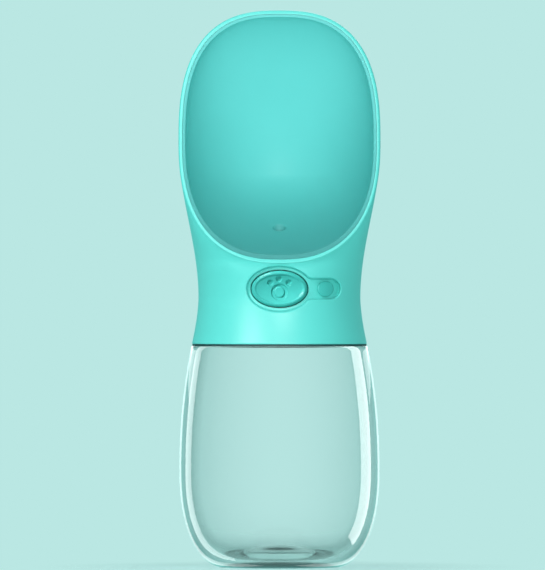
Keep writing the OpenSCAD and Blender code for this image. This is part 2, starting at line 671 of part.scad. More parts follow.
// ---- Button, its frame and the lock
button_set = 0.45;                // how far the button's crown lies under the neck's surface
button_front = waist_r - button_set;
dish_deep = 0.6;                  // depth of the dish in the button's face
dish_border = 1.5;                // width of the border round the dish
paw_deep = 0.4;                   // depth of the paw print under the dish
skirt_cover = 3.85;               // length of the skirt that stays in the shell when it is pressed
skirt_y = -waist_r + button_travel + skirt_cover;
module button() {
    color(mint) difference() {
        intersection() {
            plate(-waist_r - 2, skirt_y) polygon(oval(button_w, button_h));
            head_core(button_front);
        }
        difference() {
            plate(-waist_r - 3, -5) polygon(oval(button_w - dish_border, button_h - dish_border));
            head_core(button_front - dish_deep);
        }
        difference() {
            plate(-waist_r - 3, -5) paw();
            head_core(button_front - dish_deep - paw_deep);
        }
        difference() {
            plate(-waist_r + 4, skirt_y + 1) polygon(oval(button_w - button_wall, button_h - button_wall));
            bar(stem_r + 0.9, -waist_r, skirt_y);
        }
        bar(stem_r + 0.03, button_boss_y - seat_fit, skirt_y + 1);
    }
}
// A generic paw print, sunk into the dish: three toes over a round pad with a disc inside it.
toe_spots = [[-3.5, 2.25], [-0.25, 3.75], [3.4, 2.3]];
toe_r = 1.05;
sole_r = 2.9;
sole_disc_r = 1.75;
sole_h = -1.25;                   // height of the pad's middle above the button's middle
module paw() {
    for (toe = toe_spots) translate(toe) circle(r = toe_r, $fn = 32);
    translate([0, sole_h]) difference() {
        circle(r = sole_r, $fn = 48);
        circle(r = sole_disc_r, $fn = 48);
    }
}
// A cylinder about the bottle's axis, as tall as the lower head: what lies inside it stays.
module head_core(r) {
    translate([0, 0, head_z]) cylinder(r = r, h = rim_z - head_z, $fn = 128);
}
frame_back = gland_y - gland_len - 2;
frame_wall = 0.85;
ear_t = 1.6;
ear_r = 1.7;
module button_frame() {
    color(natural) difference() {
        intersection() {
            union() {
                plate(-waist_r, frame_back)
                    polygon(oval(button_w + button_gap + frame_wall, button_h + button_gap + frame_wall));
                for (s = frame_screw_spots) frame_ear(s);
            }
            head_core(pad_r - seat_fit);
        }
        plate(-waist_r - 1, frame_back + 1) polygon(oval(button_w + button_gap, button_h + button_gap));
        for (s = frame_screw_spots) translate([s[0], screw_seat(s) - 3, button_z + s[1]])
            rotate([-90, 0, 0]) cylinder(r = frame_screw_r + slip, h = 12, $fn = 24);
    }
}
// An ear that reaches from the frame to one of its screws.
module frame_ear(s) {
    y = screw_seat(s) + ear_t;
    plate(y - 6, y) {
        translate(s) circle(r = ear_r, $fn = 32);
        translate([s[0] < 0 ? s[0] : 6, s[1] - ear_r]) square([abs(s[0]) - (s[0] < 0 ? 8 : 6), 2 * ear_r]);
    }
}
module frame_screws() {
    color(steel) for (s = frame_screw_spots)
        translate([s[0], screw_seat(s) + ear_t + 0.02, button_z + s[1]])
            rotate([-90, 0, 0]) screw(frame_screw_r, 3.6, 1.5, 0.9);
}
plate_angle = 6;                  // half of the angle that the lock's inner plate takes up
module lock_slider() {
    color(mint) {
        difference() {
            translate([knob_x, 0, button_z]) rotate([90, 0, 0]) cylinder(r = knob_r, h = waist_r, $fn = 48);
            head_core(recess_r + slip);
            plate(-waist_r - 1, -knob_front()) square([4 * knob_x, 4 * knob_r], center = true);
        }
        arc_block(pad_r - 0.4, recess_r + 0.6, knob_angle - slot_angle + 0.3, knob_angle + slot_angle - 0.3,
            -1.3, 1.3);
        arc_block(pad_r - 1.4, pad_r - slip, knob_angle - plate_angle, knob_angle + plate_angle, -3, 3);
    }
}
// Distance of the knob's flat top in front of the bottle's axis.
function knob_front() = sqrt(waist_r * waist_r - knob_x * knob_x);
leaf_r = pad_r - 1.55;            // outer face of the leaf spring behind the lock's plate
module lock_spring() {
    start = asin((button_w + button_gap + frame_wall + 0.15) / (leaf_r - 0.7));
    color(steel) {
        arc_block(leaf_r - 0.7, leaf_r - 0.35, start, knob_angle + lock_swing + plate_angle, -1.5, 1.5);
        rotate([0, 0, knob_angle - 90]) translate([leaf_r - 0.45, 0, button_z - 1.5])
            cylinder(r = 0.4, h = 3, $fn = 24);
    }
}

bottle();
joint_ring();
head_shell();
bowl_liner();
thread_collar();
mouth_gasket();
valve_carrier();
carrier_oring();
carrier_screws();
valve_seat();
poppet_seal();
poppet_retainer();
stem_clip();
valve_stem();
stem_oring();
gland_bush();
valve_spring();
end_cap();
end_oring();
outlet_sleeve();
button();
button_frame();
frame_screws();
lock_slider();
lock_spring();
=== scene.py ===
import math

import bmesh
import bpy
import numpy as np
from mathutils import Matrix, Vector


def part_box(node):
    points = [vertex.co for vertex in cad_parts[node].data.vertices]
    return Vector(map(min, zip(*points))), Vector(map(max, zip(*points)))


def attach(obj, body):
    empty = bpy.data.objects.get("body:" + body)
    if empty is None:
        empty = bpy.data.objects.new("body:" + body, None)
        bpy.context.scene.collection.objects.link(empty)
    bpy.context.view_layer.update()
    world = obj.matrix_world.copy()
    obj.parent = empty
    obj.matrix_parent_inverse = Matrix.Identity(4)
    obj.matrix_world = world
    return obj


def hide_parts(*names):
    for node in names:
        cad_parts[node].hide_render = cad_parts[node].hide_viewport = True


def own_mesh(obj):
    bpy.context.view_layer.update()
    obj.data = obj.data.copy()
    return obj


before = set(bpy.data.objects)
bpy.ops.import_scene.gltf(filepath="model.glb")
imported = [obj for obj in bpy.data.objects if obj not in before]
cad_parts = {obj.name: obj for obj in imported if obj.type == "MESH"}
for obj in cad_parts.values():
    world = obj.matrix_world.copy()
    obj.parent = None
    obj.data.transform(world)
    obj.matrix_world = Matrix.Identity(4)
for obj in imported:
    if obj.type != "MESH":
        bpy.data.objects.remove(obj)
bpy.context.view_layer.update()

scene = bpy.context.scene
MM = 0.001

# ---------------------------------------------------------------- camera
CAMERA_AWAY = 4.0                       # metres in front of the bottle's axis
CAMERA_X, CAMERA_Z = -0.0026, 0.10575   # metres; the camera is level
FRAME_TALL = 0.21375                    # what the picture's height takes in at the axis, metres
SENSOR = 36
cam = bpy.data.objects.new("camera", bpy.data.cameras.new("camera"))
scene.collection.objects.link(cam)
cam.location = (CAMERA_X, -CAMERA_AWAY, CAMERA_Z)
cam.rotation_euler = (math.radians(90), 0, 0)
cam.data.sensor_width = SENSOR
cam.data.lens = SENSOR * CAMERA_AWAY / FRAME_TALL
cam.data.clip_start, cam.data.clip_end = 0.1, 40
scene.camera = cam
scene.view_settings.view_transform = "Standard"

# ---------------------------------------------------------------- sizes in mm, as the part's source has them
belly_r, belly_z, shoulder_r, shoulder_z, foot_r = 37.5, 36.0, 33.0, 83.0, 20.6
belly_n_up, belly_n_low, base_n = 2.1, 2.2, 2.1
bottle_wall, punt_r, punt_h, punt_spread = 2.8, 13.5, 4.4, 3.0
neck_r, mouth_r, neck_h, thread_pitch, thread_depth, thread_turns = 26.0, 23.6, 9.0, 3.0, 1.4, 1.75
joint_gap = 0.6
waist_r, waist_rise, rim_w, rim_rise, rim_up, rim_down = 30.35, 17.4, 37.7, 1.0, 48.65, 45.9
rim_lean, lip_r, back_depth, shell_t = 18.0, 1.3, 31.0, 1.4
skirt_gap, back_rise, front_drop = 0.15, 16, 3
rim_n_up, rim_n_low, flare_n, merge_share, back_n, rim_side = 2.63, 2.45, 1.6, 0.3, 1.5, 0.6
lean_start, lean_n, front_n = 0.5, 0.5, 2.0
bowl_t, bowl_foot_t, bowl_back, port_r, spigot_t = 1.1, 1.65, 22.0, 2.3, 1.1
button_w, button_h, button_gap, recess_border, recess_depth = 10.5, 6.8, 0.3, 1.75, 1.75
button_rise, button_travel, button_wall = 12.3, 3.0, 1.2
button_set, skirt_cover = 0.45, 3.85
pad_t, pad_from, pad_to, pad_low, pad_high = 3.45, -42, 60, -9.6, 9.4
knob_r, knob_x, lock_swing, arm_h, arm_fillet, arm_room = 3.0, 17.2, 5.0, 3.9, 3.2, 0.4
slip, outlet_y, nipple_rise, bowl_drop, bowl_n = 0.1, 1.5, 9.7, 11.75, 1.5
stem_r = 1.5

# sizes in mm that only the look has
SHOULDER_T = 0.9                        # the bottle's shoulder plate, thinner than in the solid
THREAD_HALF = ((-0.6, 0.75), (0.25, 0.66), (0.9, 0.5), (1.25, 0.36), (thread_depth, 0.15))
BOTTOM_ROUND = 0.5                      # radius on the head's lower edge
LIP_N = 2.6                             # power of the lip's rounding: 2 is a quarter circle
BOWL_EASE = 0.05                        # flattens the bowl's deepest place, so that no crease shows there
RECESS_DRAFT = 0.3                      # how far the recess's wall leans in
BUTTON_EDGE, KNOB_EDGE = 1.0, 0.55      # radii on the outer edges
DISH_BORDER, DISH_STEP, DISH_SLOPE, DISH_DEPTH = 1.25, 0.25, 0.5, 1.6
PAW_DEPTH, PAW_SLOPE = 0.55, 0.4
TOES = ((-3.45, 2.3, 1.2), (-0.2, 3.75, 1.25), (3.4, 2.35, 1.2))     # middle and radius
HEEL_H, HEEL_R = -1.2, 3.2                                          # the paw's round pad
DISC_R, DISC_RISE, DISC_CROWN = 2.05, 0.5, 0.1                      # a raised disc in that pad
KNOB_CROWN, KNOB_SUNK = 0.25, 0.3
SPRING_WIRE, SPRING_TURNS = 0.6, 4.5

head_z = shoulder_z + joint_gap
neck_z = shoulder_z + neck_h
waist_z = head_z + waist_rise
button_z = neck_z + button_rise
rim_low = button_z + button_h + recess_border + rim_rise
rim_z = rim_low + rim_down
rim_top = rim_z + rim_up
merge_z = rim_z - merge_share * rim_down
merge_w = rim_w * (1 - merge_share ** rim_n_low) ** (1 / rim_n_low)
merge_slope = (rim_w / rim_down * merge_share ** (rim_n_low - 1)
               * (1 - merge_share ** rim_n_low) ** (1 / rim_n_low - 1))
skirt_r = shoulder_r - skirt_gap
back_z = rim_low + back_rise
front_z = waist_z - front_drop
recess_r = waist_r - recess_depth
pad_r = waist_r - pad_t
button_front = waist_r - button_set
skirt_y = -waist_r + button_travel + skirt_cover
bowl_out = shell_t + slip
knob_angle = math.degrees(math.asin(knob_x / waist_r))


def smooth(t):
    t = min(max(t, 0.0), 1.0)
    return t * t * (3 - 2 * t)


def mix(a, b, t):
    return a + (b - a) * t


def cosd(a):
    return math.cos(math.radians(a))


def sind(a):
    return math.sin(math.radians(a))


def circle(count):
    """Points of a circle of radius 1."""
    return [(math.cos(2 * math.pi * s / count), math.sin(2 * math.pi * s / count)) for s in range(count)]


def egg(a, w, up, down):
    """Half-width and height of the rim's outline at angle a."""
    n, h = (rim_n_up, up) if a >= 0 else (rim_n_low, -down)
    return w * max(cosd(a), 0) ** (2 / n), rim_z + h * abs(sind(a)) ** (2 / n)


def neck_w(z):
    """Half-width of the neck in the front view: a flared skirt, the waist and the run to the rim."""
    if z < waist_z:
        return waist_r + (skirt_r - waist_r) * ((waist_z - z) / waist_rise) ** flare_n
    run = merge_z - waist_z
    t = min((z - waist_z) / run, 1)
    return mix(waist_r, merge_w, smooth(t)) + merge_slope * run * (t ** 3 - t ** 2)


rim_front = -neck_w(rim_low) - lip_r


def lean(h):
    return (max(h, 0) + lean_start) ** lean_n - lean_start ** lean_n


def rim_y(z):
    """Depth of the rim's plane, which leans back more and more upright."""
    return rim_front + rim_lean * lean(z - rim_low) / lean(rim_up + rim_down)


def front_power(z):
    """Power of the front's section: 2 is round, and more is squarer."""
    return 2 + front_n * smooth((z - front_z) / (merge_z - front_z))


def wall_radius(x, z):
    """Distance from the bottle's axis to the neck's outer face, at a point of the front view."""
    w, n = neck_w(z), front_power(z)
    return math.hypot(x, w * max(1 - (abs(x) / w) ** n, 0) ** (1 / n))


def edge_y(z, t):
    """Depth at which the back starts behind the rim's lip. Here and below, t is how far inside the
    shell's outer skin the surface lies."""
    return rim_y(z) + lip_r + t + rim_side


def wide_y(z, t):
    """Depth at which the section is widest."""
    return mix(0, edge_y(z, t), smooth((z - rim_low) / (merge_z - rim_low)))


def back_y(z, t):
    """Depth of the back in the middle plane."""
    if z < waist_z:
        return neck_w(z) - t
    if z < back_z:
        return mix(waist_r, back_depth, smooth((z - waist_z) / (back_z - waist_z))) - t
    top = rim_top - t
    tip = edge_y(top, t)
    u = min((z - back_z) / (top - back_z), 1)
    return tip + (back_depth - t - tip) * (1 - u ** back_n) ** (1 / back_n)


# ---------------------------------------------------------------- mesh helpers
def new_object(name, points, faces, smooth_angle=35):
    """A mesh object from points in mm, with smooth shading unless the angle is 0."""
    mesh = bpy.data.meshes.new(name)
    mesh.from_pydata([(x * MM, y * MM, z * MM) for x, y, z in points], [], faces)
    mesh.validate()
    obj = bpy.data.objects.new(name, mesh)
    scene.collection.objects.link(obj)
    weld(obj)
    if smooth_angle:
        shade(obj, smooth_angle)
    return obj


def weld(obj, dist=2e-7):
    bm = bmesh.new()
    bm.from_mesh(obj.data)
    bmesh.ops.remove_doubles(bm, verts=bm.verts, dist=dist)
    bmesh.ops.dissolve_degenerate(bm, edges=bm.edges, dist=1e-8)
    bmesh.ops.recalc_face_normals(bm, faces=bm.faces)
    bm.to_mesh(obj.data)
    bm.free()


def shade(obj, angle):
    """Smooth shading, with edges sharper than the angle kept crisp."""
    mesh = obj.data
    bm = bmesh.new()
    bm.from_mesh(mesh)
    limit = math.radians(angle)
    for f in bm.faces:
        f.smooth = True
    for e in bm.edges:
        e.smooth = len(e.link_faces) == 2 and e.calc_face_angle(0) < limit
    bm.to_mesh(mesh)
    bm.free()


def boolean(target, tool, operation):
    """Joins the tool to the target or cuts it out, and deletes the tool."""
    mod = target.modifiers.new("cut", "BOOLEAN")
    mod.object, mod.operation, mod.solver = tool, operation, "EXACT"
    dg = bpy.context.evaluated_depsgraph_get()
    dg.update()
    made = bpy.data.meshes.new_from_object(target.evaluated_get(dg), depsgraph=dg)
    target.modifiers.clear()
    old = target.data
    made.name = old.name
    target.data = made
    bpy.data.meshes.remove(old)
    bpy.data.objects.remove(tool)


def join(target, *others):
    """Puts the meshes of the others into the target, without cutting."""
    bm = bmesh.new()
    for o in (target, *others):
        bm.from_mesh(o.data)
    bm.to_mesh(target.data)
    bm.free()
    for o in others:
        bpy.data.objects.remove(o)
    return target


def quad_or_triangle(a, b, c, d):
    """The quad a b c d, or the triangle that is left of it where points coincide."""
    face = []
    for k in (a, b, c, d):
        if k not in face:
            face.append(k)
    return [face] if len(face) > 2 else []


def ring_faces(rows, count, first_cap=False, last_cap=False, mirror_caps=True):
    """Faces between closed rings of points. A cap joins a ring's upper half to its lower half,
    or is one face where mirror_caps is off."""
    faces = []
    for i in range(rows - 1):
        for j in range(count):
            k = (j + 1) % count
            faces.append([i * count + j, i * count + k, (i + 1) * count + k, (i + 1) * count + j])
    for wanted, base in ((first_cap, 0), (last_cap, (rows - 1) * count)):
        if not wanted:
            continue
        if not mirror_caps:
            faces.append([base + j for j in range(count)])
            continue
        for j in range(count // 2):
            faces += quad_or_triangle(base + j, base + j + 1, base + (count - j - 1) % count,
                                      base + (count - j) % count)
    return faces


def loft(name, rings, smooth_angle=0):
    """A closed body through rings of points, with a cap at each end."""
    points = [p for ring in rings for p in ring]
    return new_object(name, points, ring_faces(len(rings), len(rings[0]), True, True), smooth_angle)


def tube_faces(count, sides):
    """Faces of a bar with closed ends: its section, repeated along count steps."""
    faces = []
    for i in range(count):
        for k in range(sides):
            m = (k + 1) % sides
            faces.append([i * sides + k, (i + 1) * sides + k, (i + 1) * sides + m, i * sides + m])
    return faces + [list(range(sides)), [count * sides + k for k in range(sides)][::-1]]


def lathe(name, profile, steps=192, axis="z", centre=(0, 0, 0), smooth_angle=35):
    """A closed body of revolution. The profile is (radius, height) pairs, and runs from axis to axis or
    is closed."""
    points, faces = [], []
    count = len(profile)
    closed = profile[0][0] > 1e-9
    for x, y in circle(steps):
        for r, h in profile:
            p = (r * x, r * y, h) if axis == "z" else (r * x, h, r * y)
            points.append(tuple(p[i] + centre[i] for i in range(3)))
    for s in range(steps):
        n = (s + 1) % steps
        for k in range(count if closed else count - 1):
            m = (k + 1) % count
            faces.append([s * count + k, n * count + k, n * count + m, s * count + m])
    return new_object(name, points, faces, smooth_angle)


# ---------------------------------------------------------------- head shell
LIP, FRONT, BACK = 10, 64, 36           # columns on one side of the lip, the front and the back
HALF = LIP + FRONT + BACK
LOW, UP = 88, 132                       # rows below the rim and along the rim
low_heights = [0, 0.03, 0.09, 0.18, 0.3, BOTTOM_ROUND]


def row_height(i, top):
    """Height of a row below the rim; the first rows are close together, for the rounded edge."""
    if i < len(low_heights):
        return head_z + low_heights[i]
    rest = (i - len(low_heights) + 1) / (LOW - len(low_heights) + 1)
    return mix(head_z + BOTTOM_ROUND, top, rest)


def front_depth(z, t):
    """Half-depth that the front's section has at a height; the rim sets it above the rim's lowest place."""
    if z <= rim_low + t:
        return neck_w(z) - t
    x = (rim_w - t) * (1 - ((rim_z - z) / (rim_down - t)) ** rim_n_low) ** (1 / rim_n_low)
    w, n = neck_w(z) - t, front_power(z)
    return (wide_y(z, t) - rim_y(z) - lip_r - t) / (1 - (x / w) ** n) ** (1 / n)


def calm_depth(z, t, below=5.0, above=11.0, step=0.5):
    """The same half-depth, carried smoothly over the rim's lowest place."""
    z0, z1 = rim_low + t - below, rim_low + t + above
    if not z0 < z < z1:
        return None
    d0, d1 = front_depth(z0, t), front_depth(z1, t)
    s0 = (d0 - front_depth(z0 - step, t)) / step * (z1 - z0)
    s1 = (front_depth(z1 + step, t) - d1) / step * (z1 - z0)
    u = (z - z0) / (z1 - z0)
    return ((2 * u ** 3 - 3 * u ** 2 + 1) * d0 + (u ** 3 - 2 * u ** 2 + u) * s0
            + (3 * u ** 2 - 2 * u ** 3) * d1 + (u ** 3 - u ** 2) * s1)


def cove(x, z, t, height=0.85, reach=3.0, full_x=10, end_x=30):
    """How far the skin swells towards the lip, in a small hollow curve under the rim's lowest place."""
    if t > 0 or z > rim_z or x > rim_w - 0.5:
        return 0.0
    part = 1 - (x / rim_w) ** rim_n_low
    under = rim_z - rim_down * part ** (1 / rim_n_low)
    slope = rim_down / rim_w * (x / rim_w) ** (rim_n_low - 1) * part ** (1 / rim_n_low - 1)
    near = max(under - z, 0) / math.hypot(1, slope)
    return height * (1 - smooth((x - full_x) / (end_x - full_x))) * max(1 - near / reach, 0) ** 2


def shell_point(i, j, t, lip):
    """Row i, column j of the outer skin (t = 0) or of the inner one, with the lip's rounding or none."""
    m, side, low = min(j, 2 * HALF - j), (1 if j <= HALF else -1), i < LOW
    a = -90 if low else -90 + 180 * (i - LOW) / UP
    b = egg(a, rim_w - t, rim_up - t, rim_down - t)
    e = egg(a, rim_w - t - lip, rim_up - t - lip, rim_down - t - lip)
    z = row_height(i, b[1]) if low else b[1]
    w = max(neck_w(z) - t, b[0]) if low or z < merge_z else b[0]
    cut = 0.0
    if low and t == 0 and z < head_z + BOTTOM_ROUND:
        u = 1 - (z - head_z) / BOTTOM_ROUND
        cut = BOTTOM_ROUND * (1 - math.sqrt(max(1 - u * u, 0)))
    w -= cut
    y0 = t - neck_w(z) + cut if low else rim_y(z) + lip_r + t
    yw = wide_y(z, t)
    share = 0.0 if low else (b[0] / w if w > 0 else 1.0)
    n = front_power(z)
    flat = share > 0.999
    start = 90.0 if flat else math.degrees(math.asin(min(share ** (n / 2), 1)))
    calm = None if flat else calm_depth(z, t)
    depth = yw - y0
    if calm is not None:
        depth = (calm - cut) * cosd(start) ** (2 / n)
    if m < LIP:
        f = 90 * m / LIP
        g = 1 - max(cosd(f), 0) ** (2 / LIP_N) if lip > 0 else m / LIP
        out = sind(f) ** (2 / LIP_N)
        ze = mix(e[1], b[1], out)
        drop = yw - depth - cove(b[0], z, t) - rim_y(z)
        return side * mix(e[0], b[0], out), rim_y(ze) + g * drop, ze
    if m <= LIP + FRONT:
        g = (m - LIP) / FRONT
        if flat:
            return side * w, yw - depth * (1 - g) ** (2 / n), z
        f = mix(start, 90, g)
        x = w * sind(f) ** (2 / n)
        return side * x, yw - depth * (max(cosd(f), 0) / cosd(start)) ** (2 / n) - cove(x, z, t), z
    g = 90 * (m - LIP - FRONT) / BACK
    return side * w * cosd(g), yw + (back_y(z, t) - cut - yw) * sind(g), z


def make_shell():
    """The head's wall as two skins, joined along the rim and along the lower edge."""
    cols, rows = 2 * HALF, LOW + UP
    wide = cols + 1
    size = (rows + 1) * wide

    def column(i, j):
        """The column that a point falls on, where the lip or the back runs out to nothing."""
        m = min(j, cols - j)
        if i < LOW:
            return LIP if m <= LIP else j
        if i == LOW:
            return m if m <= LIP else j
        if i == rows:
            return min(m, LIP + FRONT)
        return j

    def at(k, i, j):
        return k * size + i * wide + column(i, j)

    points = [shell_point(i, j, t, lip) for t, lip in ((0, lip_r), (shell_t, 0))
              for i in range(rows + 1) for j in range(wide)]
    faces = []
    for i in range(rows):
        for j in range(cols):
            if i < LOW and column(i, j) == column(i, j + 1):
                continue
            faces += quad_or_triangle(at(0, i, j), at(0, i + 1, j), at(0, i + 1, j + 1), at(0, i, j + 1))
            faces += quad_or_triangle(at(1, i, j), at(1, i, j + 1), at(1, i + 1, j + 1), at(1, i + 1, j))
    for i in range(LOW, rows):
        faces += quad_or_triangle(at(0, i, 0), at(1, i, 0), at(1, i + 1, 0), at(0, i + 1, 0))
        faces += quad_or_triangle(at(0, i, cols), at(0, i + 1, cols), at(1, i + 1, cols), at(1, i, cols))
    for j in range(cols):
        faces += quad_or_triangle(at(0, 0, j), at(0, 0, j + 1), at(1, 0, j + 1), at(1, 0, j))
    used = sorted({p for f in faces for p in f})
    place = {p: k for k, p in enumerate(used)}
    faces = [[place[p] for p in f] for f in faces]
    return new_object("head_shell_skin", [points[p] for p in used], faces, 0)


def arc_block(name, r0, r1, a0, a1, h0, h1, round_by=0.0, step=1.5):
    """A piece of a ring round the bottle's axis. Angles run from the front towards +X,
    and heights count from the button's middle."""
    steps = max(2, int((a1 - a0) / step))
    points = []
    q = round_by
    section = [(r0 + q, h0), (r1 - q, h0), (r1, h0 + q), (r1, h1 - q), (r1 - q, h1), (r0 + q, h1),
               (r0, h1 - q), (r0, h0 + q)] if q else [(r0, h0), (r1, h0), (r1, h1), (r0, h1)]
    for s in range(steps + 1):
        a = mix(a0, a1, s / steps)
        for r, h in section:
            points.append((r * sind(a), -r * cosd(a), button_z + h))
    return new_object(name, points, tube_faces(steps, len(section)), 30)


def resample(line, count):
    """The line again, as count steps of the same length."""
    d = [0.0]
    for p, q in zip(line, line[1:]):
        d.append(d[-1] + math.dist(p, q))
    out, k = [], 0
    for i in range(count + 1):
        want = d[-1] * i / count
        while k < len(line) - 2 and d[k + 1] < want:
            k += 1
        t = (want - d[k]) / max(d[k + 1] - d[k], 1e-12)
        out.append((mix(line[k][0], line[k + 1][0], t), mix(line[k][1], line[k + 1][1], t)))
    return out


def keyhole_outline(count=360):
    """The recess in the front view: an oval, a filleted step and a round-ended arm towards +X."""
    a, b = button_w + recess_border, button_h + recess_border
    end = waist_r * sind(knob_angle + lock_swing) + knob_r + arm_room
    fillet = arm_fillet
    cy = arm_h + fillet

    def nearest(cx):
        """Angle of the oval's place that is nearest to the fillet's middle."""
        best = min(range(1, 900), key=lambda k: math.dist((cx, cy), (a * cosd(k / 10), b * sind(k / 10))))
        return best / 10

    lo, hi = 8.0, 20.0
    for _ in range(30):
        cx = (lo + hi) / 2
        t = nearest(cx)
        if math.dist((cx, cy), (a * cosd(t), b * sind(t))) < fillet:
            lo = cx
        else:
            hi = cx
    t = nearest(cx)
    touch = (a * cosd(t), b * sind(t))
    half = [(a * cosd(k), b * sind(k)) for k in np.linspace(180, t, 200)]
    from_a = math.degrees(math.atan2(touch[1] - cy, touch[0] - cx)) % 360
    half += [(cx + fillet * cosd(k), cy + fillet * sind(k)) for k in np.linspace(from_a, 270, 40)[1:]]
    half += [(end - arm_h, arm_h)]
    half += [(end - arm_h + arm_h * cosd(k), arm_h * sind(k)) for k in np.linspace(90, 0, 60)[1:]]
    upper = resample(half, count // 2)
    # starts at the arm's end and runs over the top, so that point i mirrors point count - i
    upper = upper[::-1]
    return upper + [(x, -h) for x, h in upper[-2:0:-1]]


def offset_outline(outline, by):
    """The outline, moved outward along its normals."""
    out, n = [], len(outline)
    for i in range(n):
        (x0, y0), (x1, y1) = outline[i - 1], outline[(i + 1) % n]
        dx, dy = x1 - x0, y1 - y0
        length = math.hypot(dx, dy)
        out.append((outline[i][0] + by * dy / length, outline[i][1] - by * dx / length))
    return out


def place_on(outline, radius_at):
    """Puts outline points at a distance from the bottle's axis, which may change over the front view."""
    out = []
    for x, h in outline:
        r = radius_at(x, button_z + h)
        out.append((x, -math.sqrt(max(r * r - x * x, 0.01)), button_z + h))
    return out


def sink_cutter(name, outline, surface, floor_r=0, edge=0.6, foot=0.4, draft=0.0, lid=34.0, through=None):
    """What a recess takes away: a rounded upper edge, a wall along Y, a rounded foot and a floor.
    With through, the wall runs on to that depth. The lid is how far out the cutter reaches."""
    first, run_out, lid_out = 18, 0.5, 1.3
    rings = [place_on(offset_outline(outline, edge + lid_out), lambda x, z: lid)]
    d0, o0 = edge * (1 - cosd(first)), edge * (1 - sind(first))
    rings.append(place_on(offset_outline(outline, o0 + run_out * cosd(first)),
                          lambda x, z: surface(x, z) - d0 + run_out * sind(first)))
    for f in np.linspace(first, 90, 7):
        o, d = edge * (1 - sind(f)), edge * (1 - cosd(f))
        rings.append(place_on(offset_outline(outline, o), lambda x, z, d=d: surface(x, z) - d))
    if through is not None:
        rings.append([(x, through, button_z + h) for x, h in outline])
    else:
        for f in (0, 30, 60, 90):
            ring = offset_outline(outline, -draft - foot * (1 - cosd(f)))
            rings.append(place_on(ring, lambda x, z, f=f: floor_r + foot * (1 - sind(f))))
        spine = (-5, max(x for x, _ in outline) - arm_h)
        for s in (0.25, 0.5, 0.75, 0.95):
            ring = [(mix(x, min(max(x, spine[0]), spine[1]), s), mix(h, 0, s)) for x, h in outline]
            rings.append(place_on(ring, lambda x, z: floor_r))
    return loft(name, rings)


def make_pad(steps=72, levels=12):
    """The thick place behind the button, from the middle of the shell's wall to a round inner face."""
    points, faces = [], []
    for i in range(levels + 1):
        z = button_z + mix(pad_low, pad_high, i / levels)
        w, n = neck_w(z) - shell_t / 2, front_power(z)
        for j in range(steps + 1):
            a = mix(pad_from, pad_to, j / steps)
            for r in (w / (abs(sind(a)) ** n + cosd(a) ** n) ** (1 / n), pad_r):
                points.append((r * sind(a), -r * cosd(a), z))

    def at(i, j, k):
        return (i * (steps + 1) + j) * 2 + k
    for i in range(levels):
        for j in range(steps):
            faces.append([at(i, j, 0), at(i, j + 1, 0), at(i + 1, j + 1, 0), at(i + 1, j, 0)])
            faces.append([at(i, j, 1), at(i + 1, j, 1), at(i + 1, j + 1, 1), at(i, j + 1, 1)])
        for j in (0, steps):
            faces.append([at(i, j, 0), at(i + 1, j, 0), at(i + 1, j, 1), at(i, j, 1)])
    for i in (0, levels):
        for j in range(steps):
            faces.append([at(i, j, 0), at(i, j, 1), at(i, j + 1, 1), at(i, j + 1, 0)])
    return new_object("pad", points, faces, 0)


def make_head():
    """The head's shell with the thick pad, the recess, the button's hole and the lock's slot."""
    shell = make_shell()
    boolean(shell, make_pad(), "UNION")
    recess = sink_cutter("recess", keyhole_outline(), wall_radius, recess_r, draft=RECESS_DRAFT)
    boolean(shell, recess, "DIFFERENCE")
    hole_w, hole_h = button_w + button_gap, button_h + button_gap
    hole = sink_cutter("hole", [(hole_w * x, hole_h * h) for x, h in circle(256)],
                       lambda x, z: recess_r, edge=0.18, lid=recess_r + 1.2, through=-4)
    boolean(shell, hole, "DIFFERENCE")
    half, tall = 3.5, 1.6
    slot = arc_block("slot", pad_r - 1, recess_r + 0.2, knob_angle - half, knob_angle + half + lock_swing,
                     -tall, tall)
    boolean(shell, slot, "DIFFERENCE")
    weld(shell)
    shade(shell, 32)
    return shell


head = make_head()

# ---------------------------------------------------------------- bowl
cavity_in = bowl_out + bowl_t
bowl_deep_z = rim_z - bowl_drop


def bowl_sizes(k):
    """Half-width, heights up and down from rim_z, and depth of the outer (0) or inner (1) skin."""
    inset = bowl_out if k == 0 else cavity_in
    return (rim_w - inset, rim_up - inset, rim_down - bowl_out - (0 if k == 0 else bowl_foot_t),
            bowl_back + (bowl_t if k == 0 else 0))


def bowl_surface(x, z, k):
    """Depth of the bowl's inner (1) or outer (0) skin at a point of the front view."""
    w, up, down, deep = bowl_sizes(k)
    top, low = rim_z + up, rim_z - down
    z = min(max(z, low), top)
    end = top if z > bowl_deep_z else low
    u = min((z - bowl_deep_z) / (end - bowl_deep_z), 1)
    u = u * u / (u + BOWL_EASE) * (1 + BOWL_EASE)
    y_end = rim_y(end)
    floor = y_end + (deep - y_end) * (1 - u ** bowl_n) ** (1 / bowl_n)
    n, h = (rim_n_up, up) if z > rim_z else (rim_n_low, down)
    half = w * max(1 - (abs(z - rim_z) / h) ** n, 0) ** (1 / n)
    y = rim_y(z)
    if half <= abs(x):
        return y
    return y + max(floor - y, 0) * math.sqrt(1 - (x / half) ** 2)


def bowl_height(x, y, k):
    """Height of the bowl's lower floor at a point seen from above."""
    lo, hi = rim_z - bowl_sizes(k)[2], bowl_deep_z
    for _ in range(40):
        mid = (lo + hi) / 2
        if bowl_surface(x, mid, k) < y:
            lo = mid
        else:
            hi = mid
    return (lo + hi) / 2


